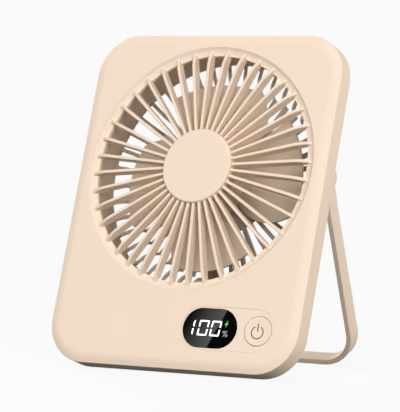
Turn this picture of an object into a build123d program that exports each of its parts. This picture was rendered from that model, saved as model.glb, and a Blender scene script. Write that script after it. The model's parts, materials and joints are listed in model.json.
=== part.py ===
from build123d import *
import math
import os

# Portable desk fan: a slim slab with a round fin grille that leans back on a folding U stand.
# Millimetres. The body is drawn in its own frame: X to the right, Y up the body from the fan
# axis, Z out of the front face, so depths behind the face are negative. At the end the body is
# tilted back and the whole fan is set on the floor, centred on its own footprint.

os.makedirs("parts", exist_ok=True)

# Common clearances
overrun = 1.0            # how far a cut runs past the faces that it opens
fit_gap = 0.02           # radial room of a screwed or pressed piece in its hole
running_gap = 0.05       # radial room of a turning piece on its pin
seat_gap = 0.1           # room round a piece that is dropped into a cut-out

# Front shell: face plate and skirt
face_margin = 7.1        # from the grille ring to the sides and the top of the body
control_band = 42.1      # from the grille ring down to the lower edge
body_corner_radius = 23.0
bevel_width = 4.2        # sloping edge round the face
bevel_depth = 1.8
bevel_round = 8.0        # soft turn from the face into that slope
skirt_edge_radius = 0.5
face_wall = 2.2
skirt_wall = 2.6
skirt_depth = 12.7
body_tilt = 20.0         # degrees that the standing body leans back

# Front grille: a dished ring, radial fins and a flat cap in the middle
opening_radius = 67.9
dish_width = 4.5         # sloping rim between the face and the throat
dish_depth = 2.2
dish_sag = 0.5           # hollow of that slope
grille_lip = 2.0         # depth of the throat
grille_ring_wall = 1.5
grille_ring_depth = 7.2
fin_count = 40
fin_root_width = 1.6
fin_tip_width = 1.8
fin_root_height = 2.2    # front of a fin before the face, at the cap
fin_bend_height = 1.6    # the same where the fin starts to bend back
fin_bend_inset = 11.4    # from the opening's edge to where that bend starts
fin_bend_radius = 16.5
fin_back = 3.9           # back of the fins behind the face
fin_round = 0.5
fin_bite = 3.4           # end of a fin inside the ring
cap_radius = 20.6
cap_height = 3.2
cap_edge_radius = 1.2
cap_thickness = 3.8
cap_spigot_radius = 5.0
cap_spigot_length = 1.8
hub_inset = 1.6          # hub under the cap, inside its edge
hub_bite = 1.0           # root of a fin inside the hub
grille_tab_size = 9.0
grille_tab_thickness = 2.0
grille_screw_reach = 3.7     # from the ring to the screws that hold the grille

# Rear shell: a flat back with a domed grille of ribs round the motor
shell_depth = 23.0       # flat back of the shell behind the face
rear_wall = 2.0
rear_edge_radius = 2.0
duct_room = 2.0          # duct wider than the throat of the grille ring
duct_wall = 2.0
rib_width = 2.0
rib_depth = 2.8
rib_foot_slope = 1.8     # run of the slope from a rib to its foot on the duct
motor_plate_radius = 27.3
plate_ring_inset = 6.7
plate_ring_width = 1.4
plate_ring_rise = 1.0
lead_web_width = 9.0     # closed gap below the motor, which carries its lead

# Folding stand: one flat strip bent to a U
strip_thickness = 3.0
strip_width = 9.2
strip_edge_radius = 0.6
arm_gap = 0.9            # between an arm and the walls beside it
leg_lean = 19.74         # degrees that the open stand leans the other way
stand_corner_inset = 4.0 # corner of the stand tighter than the body's
pivot_rise = 1.5         # pivot above the fan axis
pivot_setback = 5.2      # pivot behind the rear edge of the skirt
strip_behind_pivot = 0.4
eye_radius = 4.5
eye_taper = 14.0         # length of the slope from the arm to its eye
pin_radius = 2.0
pin_head_radius = 3.2
pin_head_height = 1.2
pin_thread_radius = 1.4
pin_thread_length = 1.9
washer_radius = 4.2
washer_play = 0.05

# Screws
case_screw_radius = 1.2
case_screw_head_radius = 2.6
case_screw_head_height = 1.6
case_tip_gap = 2.8       # between the end of a screw and the face plate
case_head_recess = 3.0
case_boss_radius = 3.4
case_post_length = 11.0  # posts of the rear shell, which meet the front shell's
case_side_inset = 9.6    # screws from the sides of the rear shell
case_top_inset = 10.6    # upper screws from its top
case_low_inset = 30.9    # lower screws from its lower end
small_screw_radius = 0.9
small_screw_head_radius = 1.9
small_screw_head_height = 1.1
small_screw_length = 4.2
small_boss_radius = 2.2

# Motor
shaft_radius = 1.0
shaft_grip = 1.0         # length of the shaft in the impeller
shaft_end_gap = 0.4
clip_radius = 2.2
clip_width = 0.4
clip_groove = 0.25
clip_end = 0.4           # shaft beyond the clip
clip_play = 0.5
bush_wall = 1.95
bush_front_gap = 0.9
bearing_tube_wall = 1.2
bearing_tube_floor = 0.7 # motor plate left behind the bearing tube
motor_flange_radius = 13.4
motor_flange_thickness = 1.2
motor_board_thickness = 1.0
motor_screw_inset = 3.8
motor_screw_count = 3
stator_radius = 12.4
stator_yoke_wall = 2.1
stator_front_gap = 2.2   # between the rotor's front wall and the core
stator_end_gap = 0.8     # core inside the rear edge of the rotor can
tooth_count = 9
tooth_width = 2.0
tooth_shoe_depth = 1.4
shoe_gap = 1.2
coil_build = 0.9
coil_clearance = 0.02
air_gap = 0.5
magnet_thickness = 1.3
magnet_front_gap = 1.2
magnet_end_gap = 0.4
can_wall = 0.8
can_front_wall = 1.0
can_length = 15.0
motor_board_gap = 1.5    # between rotor can and motor board

# Impeller
blade_count = 4
blade_tip_gap = 12.9     # between blade tips and duct
blade_thickness = 1.5
blade_front_inset = 2.0  # trailing edge behind the hub's front
blade_rear_gap = 5.9     # leading edge before the rear ribs
blade_sweep = 82.0       # degrees that one blade covers at the hub
blade_tip_sweep = 57.0   # degrees that it covers at its tip
blade_belly = 7.6        # how far the leading edge curves out
blade_start = -4.0       # degrees, middle of the first blade
blade_stations = 5       # sections from hub to tip
blade_corner_radius = 5.0
blade_edge_radius = 2.0
impeller_hub_wall = 2.4
impeller_gap = 8.3       # between fins and hub
impeller_front_wall = 1.8
impeller_skirt_drop = 0.6    # hub past the rear edge of the rotor can
impeller_hub_round = 1.6

# Control panel
panel_side_inset = 13.3  # right end of the panel from the side of the body
panel_rise_share = 0.5368    # middle of the panel up the control band
panel_rim = 0.9          # panel round the display lens
panel_thickness = 2.2
panel_flange = 1.4
panel_flange_thickness = 1.2
panel_drop = 0.1
lens_length = 32.2
lens_height = 21.2
lens_thickness = 1.6
lens_ledge = 1.2
digit_block_inset = 3.6
button_radius = 7.8
button_lens_gap = 4.7
button_end_gap = 1.6     # from the button to the end of the panel
button_dish = 0.3        # depth of the hollow in the button's face
button_lip = 1.0         # flat rim round that hollow
button_round = 0.3
button_gap = 0.3
button_rise = 0.25
button_skirt = 0.7       # flange that keeps the button behind the panel
button_skirt_thickness = 0.9
button_travel = 0.6
button_slack = 0.15      # room left over at both ends of the travel
button_stem_radius = 1.8
button_stem_length = 1.0
switch_size = 6.0
switch_height = 1.5
switch_plunger_radius = 1.7
switch_plunger_height = 0.5
board_thickness = 1.2
board_overhang = 1.0     # main board past the ends of the panel
lead_margin = 1.2        # main board beside the motor lead
corner_share = 0.125     # corner radius of small square blocks
main_board_height = 21.4
main_board_rise = 2.1    # middle of the main board above the panel's
board_corner_radius = 4.0
board_screw_inset = 2.4

# Charging board and socket
charge_side_gap = 1.9    # to the side wall of the rear shell
charge_rise = 17.5       # middle of the board above the end of the rear shell
charge_board_length = 10.6
charge_board_height = 16.0
usb_width = 8.94
usb_height = 3.26
usb_wall = 0.3
usb_depth = 7.2
usb_sink = 0.3           # mouth of the socket inside the rear face
usb_tongue_width = 6.7
usb_tongue_thickness = 0.7
usb_tongue_drop = 0.9
usb_recess = 0.2

# Battery
battery_board_gap = 3.1  # to the charging board
battery_post_gap = 6.6   # to the screw post on the other side
battery_duct_gap = 3.4
battery_wall_gap = 2.1
battery_front_gap = 2.5  # to the main board
battery_edge_radius = 2.2
pad_thickness = 0.8
pad_inset = 4.0
battery_rail_thickness = 1.4
battery_rail_gap = 0.4
battery_rail_rise = 5.0

# Leads inside the body
lead_width = 4.4
lead_thickness = 0.8
lead_duct_gap = 1.6      # from the duct to where the motor lead climbs
lead_board_run = 4.0     # length of a lead that lies on the board
battery_lead_inset = 4.0     # from the lower edge of the main board
battery_lead_run = 9.0
battery_lead_gap = 2.2   # from the end of the board to the climbing lead

# Outline of the body round the grille
throat_radius = opening_radius - dish_width
body_top = opening_radius + face_margin
axis_height = opening_radius + control_band
body_width = 2 * (opening_radius + face_margin)
body_height = body_top + axis_height
body_mid = body_height / 2 - axis_height

# Depth of the body: the fins, the motor behind them and the rear ribs in a row
impeller_hub_front = fin_back + impeller_gap
can_front = impeller_hub_front + impeller_front_wall
can_inside = can_front + can_front_wall
can_back = can_front + can_length
motor_stack = motor_board_gap + motor_board_thickness + motor_flange_thickness
body_depth = can_back + motor_stack + rib_depth
plate_back = -face_wall
skirt_back = -skirt_depth
shell_back = -shell_depth
rear_floor = shell_back + rear_wall
grille_back = -grille_ring_depth
dome_back = -body_depth
rib_front = dome_back + rib_depth
pivot_depth = skirt_depth + pivot_setback

# Standing pose: the lower rear edge of the skirt and the crossbar both touch the floor
tilt = math.radians(body_tilt)
lean = math.radians(leg_lean)
strip_back = -strip_behind_pivot
strip_front = strip_back + strip_width


def height_of(y, z):
    """Height of a body point above the fan axis once the body is tilted."""
    return y * math.cos(tilt) + z * math.sin(tilt)


floor_drop = height_of(skirt_edge_radius - axis_height, skirt_edge_radius - skirt_depth) - skirt_edge_radius
pivot_height = height_of(pivot_rise, -pivot_depth) - floor_drop
foot_height = pivot_height - strip_edge_radius - (strip_front - strip_edge_radius) * math.sin(lean)
leg_length = strip_edge_radius + foot_height / math.cos(lean)

# Widths that follow from the nested stand
skirt_inside = body_width / 2 - skirt_wall
stand_half = skirt_inside - arm_gap
arm_inside = stand_half - strip_thickness
rear_half = arm_inside - arm_gap
rear_top = body_top - (body_width / 2 - rear_half)
rear_bottom = pivot_rise - leg_length + strip_thickness + arm_gap
rear_height = rear_top - rear_bottom
rear_mid = (rear_top + rear_bottom) / 2
stand_corner_radius = body_corner_radius - stand_corner_inset
rear_corner_radius = stand_corner_radius - strip_thickness - arm_gap

# Places that several pieces share
cap_seat = cap_height - cap_thickness
hub_radius = cap_radius - hub_inset
duct_radius = throat_radius + duct_room
duct_outside = duct_radius + duct_wall
dome_round = body_depth - shell_depth
rib_bend_at = rear_half - rear_edge_radius - dome_round
plate_ring_radius = motor_plate_radius - plate_ring_inset
grille_screw_radius = opening_radius + grille_screw_reach
case_boss_split = shell_depth - case_post_length
case_screw_x = rear_half - case_side_inset
case_screw_top = rear_top - case_top_inset
case_screw_low = rear_bottom + case_low_inset
case_points = [
    (side * case_screw_x, level) for side in (-1, 1) for level in (case_screw_top, case_screw_low)
]
panel_length = panel_rim + lens_length + button_lens_gap + 2 * button_radius + button_end_gap
panel_height = lens_height + 2 * panel_rim
panel_right = body_width / 2 - panel_side_inset
panel_x = panel_right - panel_length / 2
panel_y = control_band * panel_rise_share - axis_height
lens_x = panel_right - panel_length + panel_rim + lens_length / 2
button_x = panel_right - button_end_gap - button_radius
board_left = min(panel_right - panel_length - board_overhang, -lead_width / 2 - lead_margin)
board_right = panel_right + board_overhang
main_board_length = board_right - board_left
main_board_x = (board_left + board_right) / 2
main_board_y = panel_y + main_board_rise
charge_board_x = charge_board_length / 2 + charge_side_gap + rear_wall - rear_half
charge_board_y = rear_bottom + charge_rise
grille_screw_angles = (45, 135, 225, 315)
fin_step = 360 / fin_count
straight_down = 270


# Basic forms

def slab(width, height, radius, low, high, x=0, y=0):
    """A plate with rounded corners between two depths."""
    return extrude(Pos(x, y, low) * RectangleRounded(width, height, radius), amount=high - low)


def pill(length, height, low, high, x, y):
    """A plate with round ends between two depths."""
    return extrude(Pos(x, y, low) * SlotOverall(length, height), amount=high - low)


def block(length, height, low, high, x=0, y=0):
    """A square-cornered block between two depths."""
    return extrude(Pos(x, y, low) * Rectangle(length, height), amount=high - low)


def rod(radius, low, high, x=0, y=0):
    """A round bar along Z between two depths."""
    return extrude(Pos(x, y, low) * Circle(radius), amount=high - low)


def pipe(outer, inner, low, high, x=0, y=0):
    """A round tube along Z between two depths."""
    return rod(outer, low, high, x, y) - rod(inner, low - overrun, high + overrun, x, y)


def cross_rod(radius, left, right, y, z):
    """A round bar along X between two sides."""
    start = Plane(origin=(left, y, z), x_dir=(0, 1, 0), z_dir=(1, 0, 0))
    return extrude(start * Circle(radius), amount=right - left)


def around(angle, radius):
    """A point on a circle round the fan axis."""
    turn = math.radians(angle)
    return radius * math.cos(turn), radius * math.sin(turn)


def turned(shape, angle):
    """A shape turned round the fan axis."""
    return Rot(0, 0, angle) * shape


def small_screw(x, y, seat, way):
    """A small pan-head screw; way is the side on which its head lies."""
    head_end = seat + way * small_screw_head_height
    tip = seat - way * small_screw_length
    head = rod(small_screw_head_radius, min(seat, head_end), max(seat, head_end), x, y)
    return head + rod(small_screw_radius, min(seat, tip), max(seat, tip), x, y)


# Front shell

def front_shell():
    outer = slab(body_width, body_height, body_corner_radius, skirt_back, 0, y=body_mid)
    face = outer.faces().sort_by(Axis.Z)[-1]
    outer = chamfer(face.edges(), bevel_width, bevel_depth, reference=face)
    outer = fillet(outer.faces().sort_by(Axis.Z)[-1].edges(), bevel_round)
    outer = fillet(outer.edges().filter_by_position(Axis.Z, -bevel_depth, -bevel_depth), skirt_edge_radius)
    outer = fillet(outer.faces().sort_by(Axis.Z)[0].edges(), skirt_edge_radius)
    hollow = slab(
        body_width - 2 * skirt_wall,
        body_height - 2 * skirt_wall,
        body_corner_radius - skirt_wall,
        skirt_back - overrun,
        plate_back,
        y=body_mid,
    )
    shell = outer - hollow - rod(opening_radius + fit_gap, skirt_back, overrun)
    shell -= pill(
        panel_length + 2 * seat_gap, panel_height + 2 * seat_gap, plate_back - overrun, overrun,
        panel_x, panel_y,
    )
    for x, y in case_points:
        shell += pipe(case_boss_radius, case_screw_radius + fit_gap, -case_boss_split, plate_back, x, y)
    for angle in grille_screw_angles:
        x, y = around(angle, grille_screw_radius)
        tab_front = grille_back + grille_tab_thickness
        shell += pipe(small_boss_radius, small_screw_radius + fit_gap, tab_front, plate_back, x, y)
    for x, y in board_screw_points():
        shell += pipe(small_boss_radius, small_screw_radius + fit_gap, board_front, plate_back, x, y)
    return shell


# Front grille and cap

def grille_ring():
    """The ring in the opening: a hollow slope from the face to the throat, a lip and an outer wall."""
    lip_back = -dish_depth - grille_lip
    wall_inside = opening_radius - grille_ring_wall
    section = Polyline(
        (throat_radius, -dish_depth),
        (throat_radius, lip_back),
        (wall_inside, lip_back),
        (wall_inside, grille_back),
        (opening_radius, grille_back),
        (opening_radius, 0),
    )
    slope_middle = (opening_radius - dish_width / 2, -dish_depth / 2 - dish_sag)
    slope = ThreePointArc((opening_radius, 0), slope_middle, (throat_radius, -dish_depth))
    return revolve(Plane.XZ * make_face(section + slope), Axis.Z)


def fin():
    """One fin along +X: flat sides, a crown that bends back at the rim and a root under the cap."""
    root = cap_radius + seat_gap
    inner = hub_radius - hub_bite
    tip = throat_radius + fin_bite
    bend_at = opening_radius - fin_bend_inset
    turn = math.asin((tip - bend_at) / fin_bend_radius)
    crown = Line((root, fin_root_height), (bend_at, fin_bend_height))
    bend_points = [
        (
            bend_at + fin_bend_radius * math.sin(part * turn),
            fin_bend_height - fin_bend_radius * (1 - math.cos(part * turn)),
        )
        for part in (0, 1 / 2, 1)
    ]
    back = Polyline(
        bend_points[-1],
        (tip, -fin_back),
        (inner, -fin_back),
        (inner, cap_seat),
        (root, cap_seat),
        (root, fin_root_height),
    )
    profile = make_face(crown + ThreePointArc(*bend_points) + back)
    side = extrude(Plane.XZ * profile, amount=fin_tip_width, both=True)
    plan = make_face(
        Polyline(
            (inner, -fin_root_width / 2),
            (tip, -fin_tip_width / 2),
            (tip, fin_tip_width / 2),
            (inner, fin_root_width / 2),
            (inner, -fin_root_width / 2),
        )
    )
    blade = side & extrude(Pos(0, 0, grille_back) * plan, amount=grille_ring_depth + cap_height)
    front_edges = [
        edge for edge in blade.edges()
        if edge.center().Z > cap_seat - fin_back / 2 and root < edge.center().X < tip
        and abs(edge.center().Y) > fin_round / 2
    ]
    return fillet(front_edges, fin_round)


def front_grille():
    one_fin = fin()
    fins = [turned(one_fin, (index + 1 / 2) * fin_step) for index in range(fin_count)]
    hub = pipe(hub_radius, cap_spigot_radius + fit_gap, -fin_back, cap_seat)
    grille = grille_ring() + hub + fins
    return grille + [turned(grille_tab(), angle) for angle in grille_screw_angles]


def grille_tab():
    """One screw tab on the outside of the ring, along +X."""
    high = grille_back + grille_tab_thickness
    reach = grille_screw_radius - opening_radius
    arm = block(2 * reach, grille_tab_size, grille_back, high, x=opening_radius)
    tab = rod(grille_tab_size / 2, grille_back, high, x=grille_screw_radius) + arm
    tab -= rod(opening_radius - grille_ring_wall / 2, grille_back - overrun, overrun)
    return tab - rod(small_screw_radius + fit_gap, grille_back - overrun, overrun, x=grille_screw_radius)


def grille_cap():
    cap = rod(cap_radius, cap_seat, cap_height)
    cap = fillet(cap.faces().sort_by(Axis.Z)[-1].edges(), cap_edge_radius)
    return cap + rod(cap_spigot_radius, cap_seat - cap_spigot_length, cap_seat)


def grille_screws():
    points = [around(angle, grille_screw_radius) for angle in grille_screw_angles]
    return [small_screw(x, y, grille_back, -1) for x, y in points]


# Rear shell with duct, rear ribs and motor plate

def rear_shell():
    outer = slab(2 * rear_half, rear_height, rear_corner_radius, shell_back, plate_back, y=rear_mid)
    outer = fillet(outer.faces().sort_by(Axis.Z)[0].edges(), rear_edge_radius)
    hollow = slab(
        2 * (rear_half - rear_wall),
        rear_height - 2 * rear_wall,
        rear_corner_radius - rear_wall,
        rear_floor,
        overrun,
        y=rear_mid,
    )
    shell = outer - hollow + rod(duct_outside, shell_back, grille_back)
    shell -= rod(duct_radius, shell_back - overrun, overrun)
    shell -= rod(opening_radius + seat_gap, grille_back, overrun)
    rib = rear_rib(rib_width)
    ribs = [turned(rib, (index + 1 / 2) * fin_step) for index in range(fin_count)]
    plate = rod(motor_plate_radius, dome_back, rib_front)
    rim = pipe(
        plate_ring_radius, plate_ring_radius - plate_ring_width, rib_front, rib_front + plate_ring_rise
    )
    shell = shell + plate + rim + ribs + turned(rear_rib(lead_web_width), straight_down)
    for x, y in case_points:
        shell += rod(case_boss_radius, shell_back, -case_boss_split, x, y)
        shell -= rod(case_screw_radius + seat_gap, shell_back - overrun, overrun, x, y)
        shell -= rod(
            case_screw_head_radius + seat_gap, shell_back - overrun, shell_back + case_head_recess, x, y
        )
    return cut_rear_shell(shell)


def rear_rib(width):
    """One rib of the domed grille along +X: flat behind the blades, then round to the duct."""
    inner_round = dome_round - rib_depth
    inner_end = rib_bend_at + inner_round
    outer_end = rib_bend_at + dome_round
    foot = duct_radius + duct_wall / 2
    foot_rise = foot - outer_end
    outer_bend = RadiusArc((rib_bend_at, dome_back), (outer_end, shell_back), dome_round)
    inner_bend = RadiusArc((rib_bend_at, rib_front), (inner_end, shell_back), inner_round)
    root = Polyline(
        (rib_bend_at, rib_front), (plate_ring_radius, rib_front), (plate_ring_radius, dome_back),
        (rib_bend_at, dome_back),
    )
    end = Polyline(
        (outer_end, shell_back), (foot, shell_back + foot_rise), (foot, rear_floor),
        (inner_end + rib_foot_slope, rear_floor), (inner_end, shell_back),
    )
    profile = make_face(root + outer_bend + end + inner_bend)
    return extrude(Plane.XZ * profile, amount=width / 2, both=True)


def cut_rear_shell(shell):
    """Battery rails, board posts and the openings for motor, lead, socket and hinge."""
    rail_x = battery_length / 2 + battery_rail_gap + battery_rail_thickness / 2
    for side in (-1, 1):
        shell += block(
            battery_rail_thickness, battery_height / 2, rear_floor, rear_floor + battery_rail_rise,
            battery_x + side * rail_x, battery_y,
        )
    for x, y in charge_screw_points():
        shell += pipe(small_boss_radius, small_screw_radius + fit_gap, rear_floor, charge_board_back, x, y)
    shell -= rod(bearing_tube_radius + fit_gap, -bearing_tube_back, overrun)
    shell -= pill(
        panel_length + 2 * panel_flange + 2 * seat_gap, panel_height + 2 * panel_flange + 2 * seat_gap,
        panel_back - panel_flange_thickness - seat_gap, overrun, panel_x, panel_y,
    )
    for index in range(motor_screw_count):
        x, y = around(index * 360 / motor_screw_count, motor_screw_circle)
        shell -= rod(small_screw_radius + seat_gap, dome_back - overrun, overrun, x, y)
        head_room = small_screw_head_radius + seat_gap
        shell -= rod(head_room, dome_back - overrun, dome_back + small_screw_head_height, x, y)
    gate = block(
        duct_wall + 2 * overrun, lead_width + 2 * seat_gap, rear_floor, rear_floor + 2 * lead_thickness,
        x=duct_radius + duct_wall / 2,
    )
    ring_gate = block(
        2 * plate_ring_width, lead_width + 2 * seat_gap, rib_front, rib_front + 2 * lead_thickness,
        x=plate_ring_radius - plate_ring_width / 2,
    )
    shell -= turned(gate, straight_down)
    shell -= turned(ring_gate, straight_down)
    shell -= pill(
        usb_width + 2 * usb_recess, usb_height + 2 * usb_recess, shell_back - overrun, rear_floor + overrun,
        charge_board_x, charge_board_y,
    )
    for side in (-1, 1):
        near, far = sorted((side * (rear_half - pin_thread_length), side * (rear_half + overrun)))
        shell -= cross_rod(pin_thread_radius + fit_gap, near, far, pivot_rise, -pivot_depth)
    return shell


def case_screws():
    seat = shell_back + case_head_recess
    screws = []
    for x, y in case_points:
        head = rod(case_screw_head_radius, seat - case_screw_head_height, seat, x, y)
        screws.append(head + rod(case_screw_radius, seat, plate_back - case_tip_gap, x, y))
    return screws


# Motor

motor_seat = rib_front
motor_board_back = motor_seat + motor_flange_thickness
motor_screw_circle = motor_flange_radius - motor_screw_inset
bearing_tube_back = body_depth - bearing_tube_floor
shaft_front = can_front - shaft_grip
shaft_back = bearing_tube_back - shaft_end_gap
clip_depth = shaft_back - clip_end - clip_width
bush_radius = shaft_radius + running_gap + bush_wall
bush_front = can_inside + bush_front_gap
bush_back = clip_depth - clip_play
bearing_tube_radius = bush_radius + bearing_tube_wall
stator_yoke_radius = bearing_tube_radius + stator_yoke_wall
stator_front = can_inside + stator_front_gap
stator_length = can_back - stator_end_gap - stator_front
magnet_front = can_inside + magnet_front_gap
magnet_length = can_back - magnet_end_gap - magnet_front
can_radius = stator_radius + air_gap + magnet_thickness + can_wall


def motor_base():
    """Flange and bearing tube in one turned piece."""
    flange = rod(motor_flange_radius, motor_seat, motor_board_back)
    tube_front = -stator_front
    base = flange + rod(bearing_tube_radius, -bearing_tube_back, tube_front)
    base -= rod(bush_radius, -bearing_tube_back - overrun, overrun)
    for index in range(motor_screw_count):
        x, y = around(index * 360 / motor_screw_count, motor_screw_circle)
        base -= rod(small_screw_radius + fit_gap, dome_back, overrun, x, y)
    return base


def motor_screws():
    seat = dome_back + small_screw_head_height
    screws = []
    for index in range(motor_screw_count):
        x, y = around(index * 360 / motor_screw_count, motor_screw_circle)
        head = rod(small_screw_head_radius, dome_back, seat, x, y)
        screws.append(head + rod(small_screw_radius, seat, motor_board_back, x, y))
    return screws


def motor_bush():
    return pipe(bush_radius, shaft_radius + running_gap, -bush_back, -bush_front)


def motor_board():
    return pipe(
        motor_flange_radius, bearing_tube_radius + fit_gap,
        motor_board_back, motor_board_back + motor_board_thickness,
    )


def stator_core():
    back = -stator_front - stator_length
    core = pipe(stator_yoke_radius, bearing_tube_radius + fit_gap, back, -stator_front)
    tooth_length = stator_radius - tooth_shoe_depth / 2 - stator_yoke_radius + overrun
    tooth = block(
        tooth_length, tooth_width, back, -stator_front, x=stator_yoke_radius - overrun + tooth_length / 2
    )
    shoes = pipe(stator_radius, stator_radius - tooth_shoe_depth, back, -stator_front)
    gap = block(stator_radius, shoe_gap, back - overrun, overrun, x=stator_radius)
    for index in range(tooth_count):
        shoes -= turned(gap, (index + 1 / 2) * 360 / tooth_count)
    return core + [turned(tooth, index * 360 / tooth_count) for index in range(tooth_count)] + shoes


def stator_coils():
    back = -stator_front - stator_length
    inner = stator_yoke_radius + coil_clearance
    hole_width = tooth_width + 2 * coil_clearance
    width = hole_width + 2 * coil_build
    shoe_inside = stator_radius - tooth_shoe_depth
    outer = math.sqrt(shoe_inside ** 2 - (width / 2) ** 2) - coil_clearance
    middle = (inner + outer) / 2
    hole = block(
        outer - inner + 2 * overrun, hole_width,
        back - coil_clearance, coil_clearance - stator_front, x=middle,
    )
    coil = block(
        outer - inner, width, back - coil_clearance - coil_build,
        coil_clearance + coil_build - stator_front, x=middle,
    )
    coil = fillet(coil.edges().filter_by(Axis.X), coil_build / 2) - hole
    return [turned(coil, index * 360 / tooth_count) for index in range(tooth_count)]


def magnet_ring():
    inner = stator_radius + air_gap
    return pipe(inner + magnet_thickness, inner, -magnet_front - magnet_length, -magnet_front)


def rotor_can():
    can = rod(can_radius, -can_front - can_length, -can_front)
    inner = can_radius - can_wall
    can -= rod(inner, -can_front - can_length - overrun, -can_front - can_front_wall)
    return can - rod(shaft_radius + fit_gap, -body_depth, overrun)


def rotor_shaft():
    shaft = rod(shaft_radius, -shaft_back, -shaft_front)
    return shaft - pipe(clip_radius, shaft_radius - clip_groove, -clip_depth - clip_width, -clip_depth)


def shaft_clip():
    return pipe(clip_radius, shaft_radius - clip_groove, -clip_depth - clip_width, -clip_depth)


# Impeller

blade_radius = duct_radius - blade_tip_gap
blade_front = impeller_hub_front + blade_front_inset
blade_back = body_depth - rib_depth - blade_rear_gap
impeller_hub_back = can_back + impeller_skirt_drop


def blade():
    """A helical blade: a thick spiral ramp cut to a fan shape with a round leading edge."""
    reach = math.radians(blade_sweep) / 2
    rise = (blade_back - blade_front) / 2
    start = can_radius * math.cos(reach)
    step = (blade_radius - start) / (blade_stations - 1)
    sections = []
    for index in range(blade_stations):
        distance = start + index * step
        half = distance * math.tan(reach)
        slope = math.degrees(math.atan2(rise, half))
        station = Plane(
            origin=(distance, 0, -(blade_front + blade_back) / 2), x_dir=(0, 1, 0), z_dir=(1, 0, 0)
        )
        sections.append(station * Rot(0, 0, slope) * Rectangle(2 * math.hypot(half, rise), blade_thickness))
    return loft(sections, ruled=True) & blade_plan()


def blade_plan():
    """Outline of a blade seen from the front: a straight trailing edge and a curved leading edge."""
    hub = can_radius + impeller_hub_wall / 2
    reach = blade_sweep / 2
    lead_root = Vector(*around(-reach, hub))
    lead_tip = Vector(*around(reach - blade_tip_sweep, blade_radius))
    trail_root = Vector(*around(reach, hub))
    trail_tip = Vector(*around(reach, blade_radius))
    tip_middle = around(reach - blade_tip_sweep / 2, blade_radius)
    chord = lead_tip - lead_root
    lead_middle = (lead_root + lead_tip) / 2 + Vector(chord.Y, -chord.X).normalized() * blade_belly
    outline = make_face(
        ThreePointArc(lead_root, lead_middle, lead_tip) + ThreePointArc(lead_tip, tip_middle, trail_tip)
        + Line(trail_tip, trail_root) + Line(trail_root, lead_root)
    )
    corners = outline.vertices()
    outline = fillet(corners.sort_by_distance(trail_tip)[0], blade_edge_radius)
    outline = fillet(outline.vertices().sort_by_distance(lead_tip)[0], blade_corner_radius)
    return extrude(Pos(0, 0, dome_back) * outline, amount=body_depth)


def impeller():
    hub = rod(can_radius + impeller_hub_wall, -impeller_hub_back, -impeller_hub_front)
    hub = fillet(hub.faces().sort_by(Axis.Z)[-1].edges(), impeller_hub_round)
    one_blade = blade()
    blades = [turned(one_blade, blade_start + index * 360 / blade_count) for index in range(blade_count)]
    wheel = hub + blades
    wheel -= rod(can_radius + fit_gap, -body_depth, -can_front)
    return wheel - rod(shaft_radius + fit_gap, -body_depth, -shaft_front)


# Control panel, display and button

panel_front = -panel_drop
panel_back = panel_front - panel_thickness
button_stop = panel_back - button_slack
switch_top = button_stop - button_skirt_thickness - button_stem_length - button_travel - button_slack
board_front = switch_top - switch_plunger_height - switch_height
board_back = board_front - board_thickness
lens_back = panel_front - lens_thickness


def board_screw_points():
    """Two screws at the upper edge of the main board, the left one clear of the motor lead."""
    level = main_board_y + main_board_height / 2 - board_screw_inset
    lead_side = lead_width / 2 + 2 * small_screw_head_radius
    left = max(panel_right - panel_length - board_overhang + board_screw_inset, lead_side)
    return [(left, level), (board_right - board_screw_inset, level)]


def control_panel():
    panel = pill(panel_length, panel_height, panel_back, panel_front, panel_x, panel_y)
    panel += pill(
        panel_length + 2 * panel_flange, panel_height + 2 * panel_flange,
        panel_back - panel_flange_thickness, plate_back, panel_x, panel_y,
    ) - pill(
        panel_length - 2 * panel_flange, panel_height - 2 * panel_flange,
        panel_back - panel_flange_thickness - overrun, panel_back, panel_x, panel_y,
    )
    panel -= pill(
        lens_length + 2 * seat_gap, lens_height + 2 * seat_gap, lens_back, overrun, lens_x, panel_y
    )
    panel -= pill(
        lens_length - 2 * lens_ledge, lens_height - 2 * lens_ledge, panel_back - overrun, overrun,
        lens_x, panel_y,
    )
    panel -= rod(button_radius + button_gap, panel_back - panel_flange_thickness, overrun, button_x, panel_y)
    skirt_room = button_radius + button_skirt + button_gap
    panel -= rod(skirt_room, panel_back - panel_flange_thickness - overrun, panel_back, button_x, panel_y)
    for x, y in board_screw_points():
        panel -= rod(small_boss_radius + seat_gap, -body_depth, plate_back, x, y)
    return panel


def display_lens():
    return pill(lens_length, lens_height, lens_back, panel_front, lens_x, panel_y)


def display_module():
    height = lens_height - 2 * digit_block_inset
    length = lens_length - 2 * digit_block_inset
    return slab(length, height, height * corner_share, board_front, lens_back, x=lens_x, y=panel_y)


def power_button():
    button = rod(button_radius, button_stop, button_rise, button_x, panel_y)
    button = fillet(button.faces().sort_by(Axis.Z)[-1].edges(), button_round)
    dish_edge = button_radius - button_lip
    ball = (dish_edge ** 2 + button_dish ** 2) / (2 * button_dish)
    button -= Pos(button_x, panel_y, button_rise - button_dish + ball) * Sphere(ball)
    skirt_low = button_stop - button_skirt_thickness
    button += rod(button_radius + button_skirt, skirt_low, button_stop, button_x, panel_y)
    return button + rod(button_stem_radius, skirt_low - button_stem_length, skirt_low, button_x, panel_y)


def button_switch():
    body_top_depth = board_front + switch_height
    corner = switch_size * corner_share
    body = slab(switch_size, switch_size, corner, board_front, body_top_depth, x=button_x, y=panel_y)
    return body + rod(switch_plunger_radius, body_top_depth, switch_top, button_x, panel_y)


def main_board():
    board = slab(
        main_board_length, main_board_height, board_corner_radius, board_back, board_front,
        main_board_x, main_board_y,
    )
    for x, y in board_screw_points():
        board -= rod(small_screw_radius + fit_gap, -body_depth, overrun, x, y)
    return board


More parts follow.
